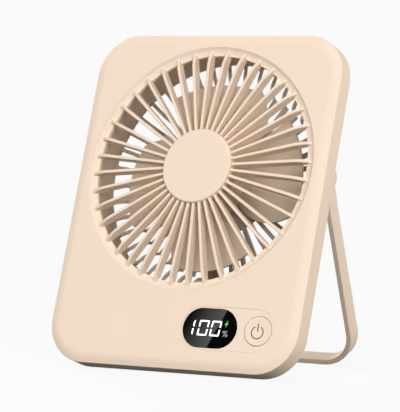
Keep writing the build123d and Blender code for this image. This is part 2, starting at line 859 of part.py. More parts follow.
def board_screws():
    screws = [small_screw(x, y, board_back, -1) for x, y in board_screw_points()]
    return screws + [small_screw(x, y, charge_board_front, 1) for x, y in charge_screw_points()]


# Charging board and socket

usb_back = shell_back + usb_sink
charge_board_back = usb_back + usb_depth
charge_board_front = charge_board_back + board_thickness


def charge_screw_points():
    """Two screws at the ends of the charging board."""
    reach = charge_board_height / 2 - board_screw_inset
    return [(charge_board_x, charge_board_y + side * reach) for side in (-1, 1)]


def charge_board():
    board = block(
        charge_board_length, charge_board_height, charge_board_back, charge_board_front,
        charge_board_x, charge_board_y,
    )
    for x, y in charge_screw_points():
        board -= rod(small_screw_radius + fit_gap, -body_depth, overrun, x, y)
    return board


def usb_socket():
    socket = pill(usb_width, usb_height, usb_back, charge_board_back, charge_board_x, charge_board_y)
    socket -= pill(
        usb_width - 2 * usb_wall, usb_height - 2 * usb_wall,
        usb_back - overrun, charge_board_back - 2 * usb_wall, charge_board_x, charge_board_y,
    )
    return socket + block(
        usb_tongue_width, usb_tongue_thickness, usb_back + usb_tongue_drop, charge_board_back,
        charge_board_x, charge_board_y,
    )


# Battery and leads

battery_back = rear_floor + pad_thickness
battery_front = board_back - battery_front_gap
battery_left = charge_board_x + charge_board_length / 2 + battery_board_gap
battery_right = case_screw_x - case_boss_radius - battery_post_gap
battery_low = rear_bottom + rear_wall + battery_wall_gap
battery_high = -duct_outside - battery_duct_gap
battery_length = battery_right - battery_left
battery_height = battery_high - battery_low
battery_x = (battery_left + battery_right) / 2
battery_y = (battery_low + battery_high) / 2


def battery_pack():
    pack = block(battery_length, battery_height, battery_back, battery_front, battery_x, battery_y)
    return fillet(pack.edges().filter_by(Axis.X), battery_edge_radius)


def battery_pad():
    return block(
        battery_length - 2 * pad_inset, battery_height - 2 * pad_inset, rear_floor, battery_back,
        battery_x, battery_y,
    )


def motor_lead():
    """From the motor flange over the web and its bend, through the duct wall, up to the main board."""
    start = motor_flange_radius + seat_gap
    bend = dome_round - rib_depth
    bend_end = rib_bend_at + bend
    climb = duct_outside + lead_duct_gap
    end = lead_board_run - main_board_y - main_board_height / 2
    bend_low = RadiusArc((rib_bend_at, rib_front), (bend_end, shell_back), bend)
    bend_high = RadiusArc(
        (rib_bend_at, rib_front + lead_thickness), (bend_end - lead_thickness, shell_back),
        bend - lead_thickness,
    )
    outside = Polyline(
        (bend_end, shell_back), (bend_end, rear_floor), (climb, rear_floor),
        (climb, board_back - lead_thickness), (end, board_back - lead_thickness), (end, board_back),
        (climb - lead_thickness, board_back), (climb - lead_thickness, rear_floor + lead_thickness),
        (bend_end - lead_thickness, rear_floor + lead_thickness), (bend_end - lead_thickness, shell_back),
    )
    inside = Polyline(
        (rib_bend_at, rib_front + lead_thickness), (start, rib_front + lead_thickness), (start, rib_front),
        (rib_bend_at, rib_front),
    )
    route = make_face(inside + bend_low + outside + bend_high)
    return turned(extrude(Plane.XZ * route, amount=lead_width / 2, both=True), straight_down)


def battery_lead():
    """From the battery's front up to the near end of the main board."""
    climb = board_left - battery_lead_gap
    start = climb - battery_lead_run
    end = board_left + lead_board_run
    route = make_face(
        Polyline(
            (start, battery_front),
            (climb, battery_front),
            (climb, board_back - lead_thickness),
            (end, board_back - lead_thickness),
            (end, board_back),
            (climb - lead_thickness, board_back),
            (climb - lead_thickness, battery_front + lead_thickness),
            (start, battery_front + lead_thickness),
            (start, battery_front),
        )
    )
    lead = extrude(Plane.XZ * route, amount=lead_width / 2, both=True)
    return Pos(0, main_board_y - main_board_height / 2 + battery_lead_inset, 0) * lead


# Folding stand, drawn folded: Y up the arm from the pivot, Z to the front

def stand_frame():
    tall = 2 * leg_length
    outer = RectangleRounded(2 * stand_half, tall, stand_corner_radius)
    inner_height = tall - 2 * strip_thickness
    inner = RectangleRounded(2 * arm_inside, inner_height, stand_corner_radius - strip_thickness)
    loop = extrude(Pos(0, 0, strip_back) * (outer - inner), amount=strip_width)
    upper = block(2 * body_width, tall, strip_back - overrun, strip_front + overrun, y=tall / 2 - eye_taper)
    bail = loop - upper
    faces = bail.faces().sort_by(Axis.Z)
    long_edges = [edge for face in (faces[0], faces[-1]) for edge in face.edges()]
    bail = fillet([edge for edge in long_edges if edge.center().Y < -eye_taper - overrun], strip_edge_radius)
    for side in (-1, 1):
        bail += stand_eye(side)
    return bail


def stand_eye(side):
    """Upper end of an arm: a slope up to the round eye, bored and sunk for its pin."""
    span = math.hypot(eye_taper, strip_front)
    touch = math.atan2(strip_front, -eye_taper) - math.acos(eye_radius / span)
    profile = make_face(
        Polyline(
            (-eye_taper, strip_back),
            (-eye_taper, strip_front),
            (eye_radius * math.cos(touch), eye_radius * math.sin(touch)),
            (0, 0),
            (0, strip_back),
            (-eye_taper, strip_back),
        )
    )
    left = min(side * arm_inside, side * stand_half)
    wall = Plane(origin=(left, 0, 0), x_dir=(0, 1, 0), z_dir=(1, 0, 0))
    eye = extrude(wall * (profile + Circle(eye_radius)), amount=strip_thickness)
    eye -= cross_rod(pin_radius + running_gap, left - overrun, left + strip_thickness + overrun, 0, 0)
    face = side * (stand_half + overrun)
    floor = side * (stand_half - pin_head_height - 2 * washer_play)
    return eye - cross_rod(pin_head_radius + seat_gap, min(face, floor), max(face, floor), 0, 0)


def hinge_pins():
    pins = []
    for side in (-1, 1):
        reaches = [
            (pin_thread_radius, rear_half - pin_thread_length, rear_half),
            (pin_radius, rear_half, stand_half - pin_head_height),
            (pin_head_radius, stand_half - pin_head_height, stand_half),
        ]
        pieces = []
        for radius, near, far in reaches:
            left, right = sorted((side * near, side * far))
            pieces.append(cross_rod(radius, left, right, pivot_rise, -pivot_depth))
        pins.append(pieces[0] + pieces[1] + pieces[2])
    return pins


def hinge_washers():
    washers = []
    for side in (-1, 1):
        left, right = sorted((side * rear_half, side * (arm_inside - washer_play)))
        washer = cross_rod(washer_radius, left, right, pivot_rise, -pivot_depth)
        hole = cross_rod(pin_radius + running_gap, left - overrun, right + overrun, pivot_rise, -pivot_depth)
        washers.append(washer - hole)
    return washers


# The whole fan, stand opened

stand_open = body_tilt + leg_lean
open_stand = Pos(0, pivot_rise, -pivot_depth) * Rot(stand_open, 0, 0) * stand_frame()

pieces = {
    "front_shell": front_shell(),
    "front_grille": front_grille(),
    "grille_cap": grille_cap(),
    "grille_screws": grille_screws(),
    "rear_shell": rear_shell(),
    "case_screws": case_screws(),
    "motor_base": motor_base(),
    "motor_screws": motor_screws(),
    "motor_bush": motor_bush(),
    "motor_board": motor_board(),
    "stator_core": stator_core(),
    "stator_coils": stator_coils(),
    "magnet_ring": magnet_ring(),
    "rotor_can": rotor_can(),
    "rotor_shaft": rotor_shaft(),
    "shaft_clip": shaft_clip(),
    "impeller": impeller(),
    "control_panel": control_panel(),
    "display_lens": display_lens(),
    "display_module": display_module(),
    "power_button": power_button(),
    "button_switch": button_switch(),
    "main_board": main_board(),
    "board_screws": board_screws(),
    "charge_board": charge_board(),
    "usb_socket": usb_socket(),
    "battery_pack": battery_pack(),
    "battery_pad": battery_pad(),
    "motor_lead": motor_lead(),
    "battery_lead": battery_lead(),
    "stand_frame": open_stand,
    "hinge_pins": hinge_pins(),
    "hinge_washers": hinge_washers(),
}


def gathered(shape):
    """One shape for a node: a list of like pieces becomes a group of separate solids."""
    return Compound(children=shape) if isinstance(shape, list) else shape


tilted = Pos(0, 0, -floor_drop) * Rot(90 - body_tilt, 0, 0)
standing = {name: tilted * gathered(shape) for name, shape in pieces.items()}
front_reach = standing["front_shell"].bounding_box().min.Y
back_reach = standing["stand_frame"].bounding_box().max.Y
centred = Pos(0, -(front_reach + back_reach) / 2, 0)
for name, shape in standing.items():
    export_step(centred * shape, f"parts/{name}.step")

place = centred * tilted
lower_face_depth = (bevel_depth + skirt_depth) / 2
for label, point in {
    "fan axis on the face": (0, 0, 0),
    "stand pivot": (0, pivot_rise, -pivot_depth),
    "button": (button_x, panel_y, button_rise),
    "socket mouth": (charge_board_x, charge_board_y, usb_back),
    "middle of the lower face": (0, -axis_height, -lower_face_depth),
    "middle of the flat back": (0, (rear_bottom - duct_outside) / 2, shell_back),
    "back of the dome": (0, 0, dome_back),
}.items():
    spot = (place * Pos(*point)).position
    print(label, [round(value, 4) for value in tuple(spot)])
print("stand opened by", round(stand_open, 4), "degrees")
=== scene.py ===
# %% [markdown]
# # A portable desk fan, dressed for a product picture
# The fan comes as ready-made solids at their real size: shells, grille, blades, motor and stand.
# This lesson gives each of them the finish of the real thing, adds the lit digits and the printed
# sign, and sets up a plain studio with the camera where the photograph was taken. Everything is in
# metres, and no solid is moved or scaled: added pieces take their places from the spin joint
# that comes with the solids.

# %% Load the solids
import json
import math

import bpy
from mathutils import Matrix, Vector


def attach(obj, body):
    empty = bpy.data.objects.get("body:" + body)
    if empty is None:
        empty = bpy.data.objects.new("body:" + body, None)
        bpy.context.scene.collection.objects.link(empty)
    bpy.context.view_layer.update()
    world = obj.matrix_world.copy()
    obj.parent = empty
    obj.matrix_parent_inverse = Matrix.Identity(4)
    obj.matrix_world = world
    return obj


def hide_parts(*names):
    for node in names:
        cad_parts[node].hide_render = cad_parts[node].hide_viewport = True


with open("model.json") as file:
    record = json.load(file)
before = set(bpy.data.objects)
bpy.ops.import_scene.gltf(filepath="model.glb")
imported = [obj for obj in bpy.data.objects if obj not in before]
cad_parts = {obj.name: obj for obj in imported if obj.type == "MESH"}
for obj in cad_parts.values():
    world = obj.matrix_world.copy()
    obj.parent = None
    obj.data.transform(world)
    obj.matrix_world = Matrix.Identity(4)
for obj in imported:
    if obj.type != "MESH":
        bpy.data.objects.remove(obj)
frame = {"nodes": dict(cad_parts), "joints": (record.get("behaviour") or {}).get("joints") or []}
nodes = frame["nodes"]
joints = {joint["name"]: joint for joint in frame["joints"]}
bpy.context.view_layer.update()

# %% [markdown]
# ## Where the face is
# The body leans back, so nothing on it is square to the world. The spin axis of the blades starts
# in the middle of the grille, on the front face, and points out of it. With the world's X to the
# right that gives a small frame of its own: right, up the face, out of the face. Pieces are
# modelled flat at the origin and then laid on the face with this one matrix.

# %% Axes of the face
mm = 0.001
out_of_face = Vector(joints["fan_spin"]["axis"]).normalized()
to_the_right = Vector((1, 0, 0))
up_the_face = out_of_face.cross(to_the_right)
face_frame = Matrix((to_the_right, up_the_face, out_of_face)).transposed().to_4x4()
face_frame.translation = Vector(joints["fan_spin"]["pos_m"])


def on_body(right, up, out):
    """A point given in millimetres from the middle of the grille on the front face."""
    return face_frame @ (Vector((right, up, out)) * mm)


print("face leans back by", round(math.degrees(math.asin(out_of_face.z)), 2), "degrees")

# %% [markdown]
# ## Camera
# The picture is a product shot from far away with a long lens, a little to the right of the fan
# and just above its middle. The lens sees about nine degrees, so the outlines stay almost parallel.

# %% Camera at the photograph's view
camera_place = on_body(683.3, -343.2, 1142.6)
camera_aim = on_body(0, -19.2, -8.4)
camera_data = bpy.data.cameras.new("camera")
camera_data.lens = 225.3
camera_data.sensor_width = 36
camera = bpy.data.objects.new("camera", camera_data)
bpy.context.scene.collection.objects.link(camera)
camera.location = camera_place
camera.rotation_euler = (camera_aim - camera_place).to_track_quat("-Z", "Y").to_euler()
bpy.context.scene.camera = camera
print("camera at", [round(value, 3) for value in camera_place])

# %% [markdown]
# ## Finishes
# The colours below are written as they look in a picture, from 0 to 255. A shader works with linear
# light, so each colour is converted first. Nearly all that is seen of the fan is one warm cream.

# %% Colour and main shader
cream = (242, 221, 200)


def linear(colour):
    """A colour from the 0 to 255 scale of a picture, as the linear light that shaders use."""
    shares = [value / 255 for value in colour]
    return [share / 12.92 if share <= 0.04045 else ((share + 0.055) / 1.055) ** 2.4 for share in shares]


def new_finish(name, colour, roughness, metallic=0.0):
    """A material with its main shader set."""
    material = bpy.data.materials.new(name)
    material.use_nodes = True
    shader = material.node_tree.nodes["Principled BSDF"]
    shader.inputs["Base Color"].default_value = (*linear(colour), 1)
    shader.inputs["Roughness"].default_value = roughness
    shader.inputs["Metallic"].default_value = metallic
    return material, material.node_tree, shader


print("cream in linear light:", [round(share, 3) for share in linear(cream)])

# %% [markdown]
# A moulded part is never one flat colour. Its mould was spark-eroded, which leaves a fine grain,
# and the resin flows and cools unevenly, so shade and gloss drift slowly over the surface. Both
# come from noise on Object coordinates: the solids need no UV map for that, and the pattern keeps
# its real scale on every piece. A pattern can steer three things: colour, gloss and height.

# %% Patterns and what they steer
grain_scale = 2600


def noise(tree, scale, detail=2.0, stretch=(1, 1, 1)):
    """A noise pattern fixed to the object; stretch packs it closer along an axis."""
    place = tree.nodes.new("ShaderNodeTexCoord")
    mapping = tree.nodes.new("ShaderNodeMapping")
    mapping.inputs["Scale"].default_value = stretch
    pattern = tree.nodes.new("ShaderNodeTexNoise")
    pattern.inputs["Scale"].default_value = scale
    pattern.inputs["Detail"].default_value = detail
    tree.links.new(place.outputs["Object"], mapping.inputs["Vector"])
    tree.links.new(mapping.outputs["Vector"], pattern.inputs["Vector"])
    return pattern.outputs["Fac"]


def drift_colour(tree, shader, pattern, colour, spread):
    """Lets the base colour drift a little darker and lighter with a pattern."""
    ramp = tree.nodes.new("ShaderNodeValToRGB")
    ramp.color_ramp.elements[0].position = 0.3
    ramp.color_ramp.elements[1].position = 0.7
    for element, factor in zip(ramp.color_ramp.elements, (1 - spread, 1 + spread)):
        element.color = (*[min(1, value * factor) for value in linear(colour)], 1)
    tree.links.new(pattern, ramp.inputs["Fac"])
    tree.links.new(ramp.outputs["Color"], shader.inputs["Base Color"])


def drift_roughness(tree, shader, pattern, low, high):
    """Lets the gloss drift between two values with a pattern."""
    span = tree.nodes.new("ShaderNodeMapRange")
    span.inputs["To Min"].default_value = low
    span.inputs["To Max"].default_value = high
    tree.links.new(pattern, span.inputs["Value"])
    tree.links.new(span.outputs["Result"], shader.inputs["Roughness"])


def add_bump(tree, shader, pattern, height, strength):
    """Raises the surface by a pattern; height is in metres."""
    bump = tree.nodes.new("ShaderNodeBump")
    bump.inputs["Strength"].default_value = strength
    bump.inputs["Distance"].default_value = height
    tree.links.new(pattern, bump.inputs["Height"])
    tree.links.new(bump.outputs["Normal"], shader.inputs["Normal"])


print("grain is about", round(1 / grain_scale / mm, 2), "mm across")

# %% [markdown]
# The cream parts are matte, with hardly any shine. The rear shell and the blades lie in the shade of
# the duct; they are the same resin, and their darker, duller copy of the cream is painted shade.

# %% Moulded plastics
def moulded_plastic(name, colour, roughness):
    """Matte moulded plastic with a fine eroded grain."""
    material, tree, shader = new_finish(name, colour, roughness)
    shader.inputs["Specular IOR Level"].default_value = 0.12
    drift = noise(tree, scale=22)
    drift_colour(tree, shader, drift, colour, spread=0.012)
    drift_roughness(tree, shader, drift, low=roughness - 0.04, high=roughness + 0.04)
    add_bump(tree, shader, noise(tree, grain_scale, detail=3), height=0.00003, strength=0.25)
    return material


shell_finish = moulded_plastic("cream_shell", cream, 0.66)
grille_finish = moulded_plastic("cream_grille", cream, 0.62)
stand_finish = moulded_plastic("cream_stand", (240, 219, 198), 0.66)
# painted shade: a darker, duller copy of the cream for the rear shell and the blades inside the duct
rear_painted_shade_finish = moulded_plastic("cream_rear_painted_shade", (197, 183, 167), 0.66)
blade_painted_shade_finish = moulded_plastic("cream_blades_painted_shade", (208, 191, 171), 0.6)
black_finish = moulded_plastic("black_plastic", (30, 30, 32), 0.55)
foam_finish = moulded_plastic("soft_foam", (38, 38, 38), 0.9)
lead_finish = moulded_plastic("flat_cable", (176, 162, 148), 0.6)
print_finish = moulded_plastic("printed_sign", (112, 94, 79), 0.6)
print("plastics:", [material.name for material in bpy.data.materials if material.name.startswith("cream")])

# %% [markdown]
# The window of the display is polished, so it mirrors the studio; only the faintest waviness tells it
# from glass. The lit signs behind it are lamps under a printed mask, and they glow a little unevenly.

# %% Window and lit signs
def smoked_gloss(name, colour):
    """Polished dark window with the faintest waviness."""
    material, tree, shader = new_finish(name, colour, 0.02)
    drift_roughness(tree, shader, noise(tree, scale=160, detail=4), low=0.01, high=0.03)
    add_bump(tree, shader, noise(tree, scale=90), height=0.000004, strength=0.1)
    return material


def lit_sign(name, colour, strength):
    """A lamp behind a printed mask: it glows, a little unevenly."""
    material, tree, shader = new_finish(name, colour, 0.4)
    shader.inputs["Emission Color"].default_value = (*linear(colour), 1)
    shader.inputs["Emission Strength"].default_value = strength
    drift_colour(tree, shader, noise(tree, scale=700), colour, spread=0.05)
    return material


lens_finish = smoked_gloss("smoked_window", (5, 5, 6))
digit_finish = lit_sign("lit_digits", (255, 255, 255), 0.9)
bolt_finish = lit_sign("lit_bolt", (96, 172, 62), 0.6)
percent_finish = lit_sign("lit_percent", (160, 160, 162), 0.3)
print("signs:", [material.name for material in bpy.data.materials if material.name.startswith("lit")])

# %% [markdown]
# The metal parts are turned, stamped or rolled, and each way of working leaves fine marks along one
# direction. The same noise does for all of them once it is packed closer along one axis.

# %% Bare metals
def turned_metal(name, colour, roughness, stretch=(1, 1, 1)):
    """Bare metal with fine tool marks drawn out along one direction."""
    material, tree, shader = new_finish(name, colour, roughness, metallic=1.0)
    marks = noise(tree, scale=900, detail=4, stretch=stretch)
    drift_colour(tree, shader, marks, colour, spread=0.06)
    drift_roughness(tree, shader, marks, low=roughness - 0.08, high=roughness + 0.1)
    add_bump(tree, shader, marks, height=0.00001, strength=0.2)
    return material


steel_finish = turned_metal("plain_steel", (170, 170, 172), 0.34, stretch=(1, 1, 6))
bronze_finish = turned_metal("sintered_bronze", (176, 138, 88), 0.42)
magnet_finish = turned_metal("dark_ferrite", (58, 58, 60), 0.6)
foil_finish = turned_metal("silver_foil", (190, 192, 196), 0.4, stretch=(8, 1, 1))
gilt_finish = turned_metal("gilded_contacts", (212, 175, 95), 0.3)
print("finishes so far:", len(bpy.data.materials))

# %% [markdown]
# Two of the hidden pieces have a pattern that is their own: the copper wire lies in turns, and the
# boards carry thin traces under a green mask. A wave pattern gives the turns and a cell pattern the
# islands of copper under the mask.

# %% Copper wire and circuit boards
def wound_wire(name, colour):
    """Enamelled wire laid in turns."""
    material, tree, shader = new_finish(name, colour, 0.35, metallic=1.0)
    place = tree.nodes.new("ShaderNodeTexCoord")
    turns = tree.nodes.new("ShaderNodeTexWave")
    turns.inputs["Scale"].default_value = 900
    turns.inputs["Distortion"].default_value = 0.4
    tree.links.new(place.outputs["Object"], turns.inputs["Vector"])
    drift_colour(tree, shader, turns.outputs["Fac"], colour, spread=0.2)
    add_bump(tree, shader, turns.outputs["Fac"], height=0.00008, strength=0.7)
    return material


def circuit_board(name, colour):
    """Green solder mask over islands of copper."""
    material, tree, shader = new_finish(name, colour, 0.35)
    place = tree.nodes.new("ShaderNodeTexCoord")
    cells = tree.nodes.new("ShaderNodeTexVoronoi")
    cells.feature = "DISTANCE_TO_EDGE"
    cells.inputs["Scale"].default_value = 420
    tree.links.new(place.outputs["Object"], cells.inputs["Vector"])
    drift_colour(tree, shader, cells.outputs["Distance"], colour, spread=0.25)
    add_bump(tree, shader, cells.outputs["Distance"], height=0.00004, strength=0.4)
    return material


copper_finish = wound_wire("enamelled_copper", (196, 118, 66))
board_finish = circuit_board("green_board", (22, 78, 46))
print("made", copper_finish.name, "and", board_finish.name)

# %% [markdown]
# Each solid is one moulding, one stamping or one group of like screws, so it has one finish all over.
# What the list leaves out is plain steel.

# %% Give every solid its finish
finishes = {
    "front_shell": shell_finish,
    # the rear shell and the blades take the darker cream that is painted shade
    "rear_shell": rear_painted_shade_finish,
    "control_panel": shell_finish,
    "power_button": shell_finish,
    "front_grille": grille_finish,
    "grille_cap": grille_finish,
    "impeller": blade_painted_shade_finish,
    "stand_frame": stand_finish,
    "display_lens": lens_finish,
    "display_module": black_finish,
    "button_switch": black_finish,
    "hinge_washers": black_finish,
    "hinge_pins": stand_finish,
    "motor_bush": bronze_finish,
    "magnet_ring": magnet_finish,
    "stator_coils": copper_finish,
    "battery_pack": foil_finish,
    "battery_pad": foam_finish,
    "motor_lead": lead_finish,
    "battery_lead": lead_finish,
    "main_board": board_finish,
    "charge_board": board_finish,
    "motor_board": board_finish,
}
for name, solid in nodes.items():
    solid.data.materials.clear()
    solid.data.materials.append(finishes.get(name, steel_finish))
print("finishes set on", len(nodes), "solids,", len(nodes) - len(finishes), "of them in steel")

# %% [markdown]
# ## Lit display
# Behind the smoked window sits a seven-segment display. A segment is a bar with mitred ends, and a
# small gap keeps it apart from its neighbours. A font could give the figures, but few fonts have such
# bars. So each bar starts as a filled circle with as many corners as the bar has: the corners are
# moved to their places, drawn in millimetres, and the flat shape is extruded into a thin plate.

# %% Thin plates on the face
lens_front = -0.1
sign_low = lens_front - 0.03
sign_high = lens_front + 0.04


def turn_outwards():
    """Ends the edit mode with every face turned outwards."""
    bpy.ops.mesh.select_all(action="SELECT")
    bpy.ops.mesh.normals_make_consistent(inside=False)
    bpy.ops.object.mode_set(mode="OBJECT")


def flat_plate(name, outline, low, high):
    """A thin plate with the given corners between two heights."""
    bpy.ops.object.select_all(action="DESELECT")
    bpy.ops.mesh.primitive_circle_add(vertices=len(outline), fill_type="NGON")
    plate = bpy.context.object
    plate.name = name
    for vertex, (x, y) in zip(plate.data.vertices, outline):
        vertex.co = (x, y, low)
    bpy.ops.object.mode_set(mode="EDIT")
    bpy.ops.mesh.select_all(action="SELECT")
    bpy.ops.mesh.extrude_region_move(TRANSFORM_OT_translate={"value": (0, 0, high - low)})
    turn_outwards()
    return plate


def lay_on_face(piece, finish, body):
    """Sets a piece that was modelled in millimetres in its place and dresses it."""
    piece.data.transform(face_frame @ Matrix.Scale(mm, 4))
    piece.data.materials.clear()
    piece.data.materials.append(finish)
    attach(piece, body)


print("lit signs reach", round(sign_high - lens_front, 3), "mm out of the window")

# %% [markdown]
# Two bars are drawn, a level one for the top and a steep one for the upper right. The others are the
# same bars flipped to the left or to the lower half, and all of them slant to the right.

# %% Bars of a digit
half_width, half_height = 2.9, 4.13
stroke = 0.82
corner_gap = 0.13
middle_gap = 0.45
middle_slope = 0.25
digit_slant = 0.1
level_bar = (
    (corner_gap - half_width, half_height),
    (half_width - corner_gap, half_height),
    (half_width - corner_gap - stroke, half_height - stroke),
    (corner_gap + stroke - half_width, half_height - stroke),
)
steep_bar = (
    (half_width, half_height - corner_gap),
    (half_width, middle_gap),
    (half_width - stroke, middle_gap + middle_slope),
    (half_width - stroke, half_height - corner_gap - stroke),
)


def flipped(bar, side, rise):
    """A bar turned over to the left side or the lower half, and slanted as the digits are."""
    return [(side * x + digit_slant * rise * y, rise * y) for x, y in bar]


right_bars = [flipped(steep_bar, 1, rise) for rise in (1, -1)]
left_bars = [flipped(steep_bar, -1, rise) for rise in (1, -1)]
level_bars = [flipped(level_bar, 1, rise) for rise in (1, -1)]
print("a digit is", 2 * half_width, "mm wide and", 2 * half_height, "mm high")

# %% [markdown]
# A one has the two bars of the right side and a zero has all but the middle one. The second zero is a
# copy of the first with a mesh of its own.

# %% Digits in their places
digit_level = -87.4
digit_centres = (11.4, 19.8, 27.2)


def joined(name, parts):
    """One piece made of several."""
    bpy.ops.object.select_all(action="DESELECT")
    for part in parts:
        part.select_set(True)
    bpy.context.view_layer.objects.active = parts[0]
    bpy.ops.object.join()
    parts[0].name = name
    return parts[0]


def copy_of(piece, name):
    """A second object with a mesh of its own."""
    twin = bpy.data.objects.new(name, piece.data.copy())
    bpy.context.scene.collection.objects.link(twin)
    return twin


def figure(name, bars):
    """A digit at the origin from its bars."""
    return joined(name, [flat_plate("bar", bar, sign_low, sign_high) for bar in bars])


one = figure("digit_one", right_bars)
first_zero = figure("digit_first_zero", right_bars + left_bars + level_bars)
second_zero = copy_of(first_zero, "digit_second_zero")
digits = (one, first_zero, second_zero)
for piece, centre in zip(digits, digit_centres):
    piece.data.transform(Matrix.Translation((centre, digit_level, 0)))
    lay_on_face(piece, digit_finish, "base")
print("digits have", [len(piece.data.polygons) for piece in digits], "faces")

# %% [markdown]
# The charging bolt is one more thin plate. Its corners are written as shares of its width and height,
# so that the sign can be made larger or smaller without drawing it again.

# %% Charging bolt
bolt_shares = ((0.66, 1.0), (0.06, 0.4), (0.43, 0.4), (0.3, 0.0), (0.94, 0.62), (0.56, 0.62), (0.78, 1.0))
bolt_width, bolt_height = 2.7, 3.7
bolt_x, bolt_y = 33.2, -84.8
bolt_corners = [
    (bolt_x + (right - 0.5) * bolt_width, bolt_y + (up - 0.5) * bolt_height) for right, up in bolt_shares
]
bolt = flat_plate("charging_bolt", bolt_corners, sign_low, sign_high)
lay_on_face(bolt, bolt_finish, "base")
print("bolt has", len(bolt.data.polygons), "faces")

# %% [markdown]
# The percent sign is plain enough to come from Blender's own font. The text gets a little thickness,
# is made a mesh, and that mesh is fitted to the height and width of the sign on the display.

# %% Percent sign
percent_x, percent_y = 33.25, -89.9
percent_width, percent_height = 3.2, 3.3
bpy.ops.object.select_all(action="DESELECT")
bpy.ops.object.text_add(location=(0, 0, 0))
percent = bpy.context.object
percent.name = "percent_sign"
percent.data.body = "%"
percent.data.extrude = (sign_high - sign_low) / 2
bpy.ops.object.convert(target="MESH")
low = [min(vertex.co[axis] for vertex in percent.data.vertices) for axis in range(3)]
high = [max(vertex.co[axis] for vertex in percent.data.vertices) for axis in range(3)]
middle = [(first + last) / 2 for first, last in zip(low, high)]
fit = Matrix.Diagonal((percent_width / (high[0] - low[0]), percent_height / (high[1] - low[1]), 1, 1))
lift = Matrix.Translation((percent_x, percent_y, (sign_low + sign_high) / 2))
percent.data.transform(lift @ fit @ Matrix.Translation(middle).inverted())
lay_on_face(percent, percent_finish, "base")
print("percent sign has", len(percent.data.polygons), "faces")

# %% [markdown]
# ## Power sign
# The sign is printed on the button, whose face is slightly hollow. A print is a ribbon a few
# hundredths of a millimetre thick. Its ring is a small upright rectangle that is spun round the
# middle of the sign and stops short of a full turn; its bar is a thin block, cut across often enough
# to bend.

# %% Ring of the sign
sign_radius = 3.36
sign_stroke = 0.62
print_thickness = 0.06
opening_turn = math.radians(60)
ring_steps = 60

bpy.ops.object.select_all(action="DESELECT")
bpy.ops.mesh.primitive_plane_add(size=1)
sign_ring = bpy.context.object
stand_up = Matrix.Rotation(math.radians(90), 4, "X") @ Matrix.Diagonal((sign_stroke, print_thickness, 1, 1))
to_start = Matrix.Rotation(math.radians(90) - opening_turn / 2, 4, "Z")
sign_ring.data.transform(to_start @ Matrix.Translation((sign_radius, 0, 0)) @ stand_up)
bpy.ops.object.mode_set(mode="EDIT")
bpy.ops.mesh.select_all(action="SELECT")
ring_turn = math.radians(360) - opening_turn
bpy.ops.mesh.spin(steps=ring_steps, angle=ring_turn, center=(0, 0, 0), axis=(0, 0, 1))
bpy.ops.mesh.select_all(action="SELECT")
bpy.ops.mesh.remove_doubles(threshold=0.0001)
turn_outwards()
print("ring has", len(sign_ring.data.polygons), "faces")

# %% Bar of the sign
bar_top, bar_low = 4.75, 0.45
bar_cuts = 7

bpy.ops.object.select_all(action="DESELECT")
bpy.ops.mesh.primitive_cube_add(size=1)
sign_bar = bpy.context.object
bar_size = Matrix.Diagonal((sign_stroke, bar_top - bar_low, print_thickness, 1))
sign_bar.data.transform(Matrix.Translation((0, (bar_top + bar_low) / 2, 0)) @ bar_size)
bpy.ops.object.mode_set(mode="EDIT")
bpy.ops.mesh.select_all(action="SELECT")
bpy.ops.mesh.subdivide(number_cuts=bar_cuts)
turn_outwards()
print("bar has", len(sign_bar.data.polygons), "faces")

# %% [markdown]
# Ring and bar are joined and lifted to the hollow face, point by point. The hollow is part of a large
# ball, so the lift grows with the square of the distance from the middle of the button.

# %% Power sign on the button
button_x, button_y = 52.3, -87.4
button_low = -0.05
button_ball = 77.2
sign_x, sign_y = 52.0, -88.1

power_sign = joined("power_sign", [sign_ring, sign_bar])
power_sign.data.transform(Matrix.Translation((sign_x, sign_y, button_low)))
for vertex in power_sign.data.vertices:
    reach = (vertex.co.x - button_x) ** 2 + (vertex.co.y - button_y) ** 2
    vertex.co.z += reach / (2 * button_ball)
lay_on_face(power_sign, print_finish, "button")
print("power sign has", len(power_sign.data.polygons), "faces")

# %% [markdown]
# ## Back of the fan
# The screws of the back have cross recesses, which the plain solids lack. A copy of the screws is cut
# with two small crossed blocks at each head and stands in for the solid. The solids come as loose
# triangles, so the copy is merged first; otherwise the cut would find no closed body.

# %% Cross recesses of the case screws
case_heads = [(right, up, -21.6) for right in (-58.0, 58.0) for up in (57.0, -70.0)]
case_cross = (3.4, 0.8, 0.9)


def cutting_block(place, size):
    """A block to cut with, given in millimetres on the body."""
    bpy.ops.object.select_all(action="DESELECT")
    bpy.ops.mesh.primitive_cube_add(size=1)
    block = bpy.context.object
    block.data.transform(Matrix.Translation(place) @ Matrix.Diagonal((*size, 1)))
    block.data.transform(face_frame @ Matrix.Scale(mm, 4))
    return block


def recessed_copy(name, node, heads, cross):
    """A copy of a group of screws with a cross cut in each head; heads are points on the body."""
    length, width, depth = cross
    piece = copy_of(nodes[node], name)
    bpy.ops.object.select_all(action="DESELECT")
    bpy.context.view_layer.objects.active = piece
    bpy.ops.object.mode_set(mode="EDIT")
    bpy.ops.mesh.select_all(action="SELECT")
    bpy.ops.mesh.remove_doubles(threshold=0.000001)
    bpy.ops.object.mode_set(mode="OBJECT")
    for head in heads:
        for wide, high in ((length, width), (width, length)):
            block = cutting_block(head, (wide, high, 2 * depth))
            cut = piece.modifiers.new("cross", "BOOLEAN")
            cut.operation = "DIFFERENCE"
            cut.object = block
            bpy.context.view_layer.objects.active = piece
            bpy.ops.object.modifier_apply(modifier="cross")
            bpy.data.objects.remove(block)
    piece.data.materials.clear()
    piece.data.materials.append(steel_finish)
    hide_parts(node)
    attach(piece, "base")
    print(name, "has", len(piece.data.polygons), "faces")


recessed_copy("case_screws_crossed", "case_screws", case_heads, case_cross)

# %% [markdown]
# The motor is held by three smaller screws on a circle round its shaft.

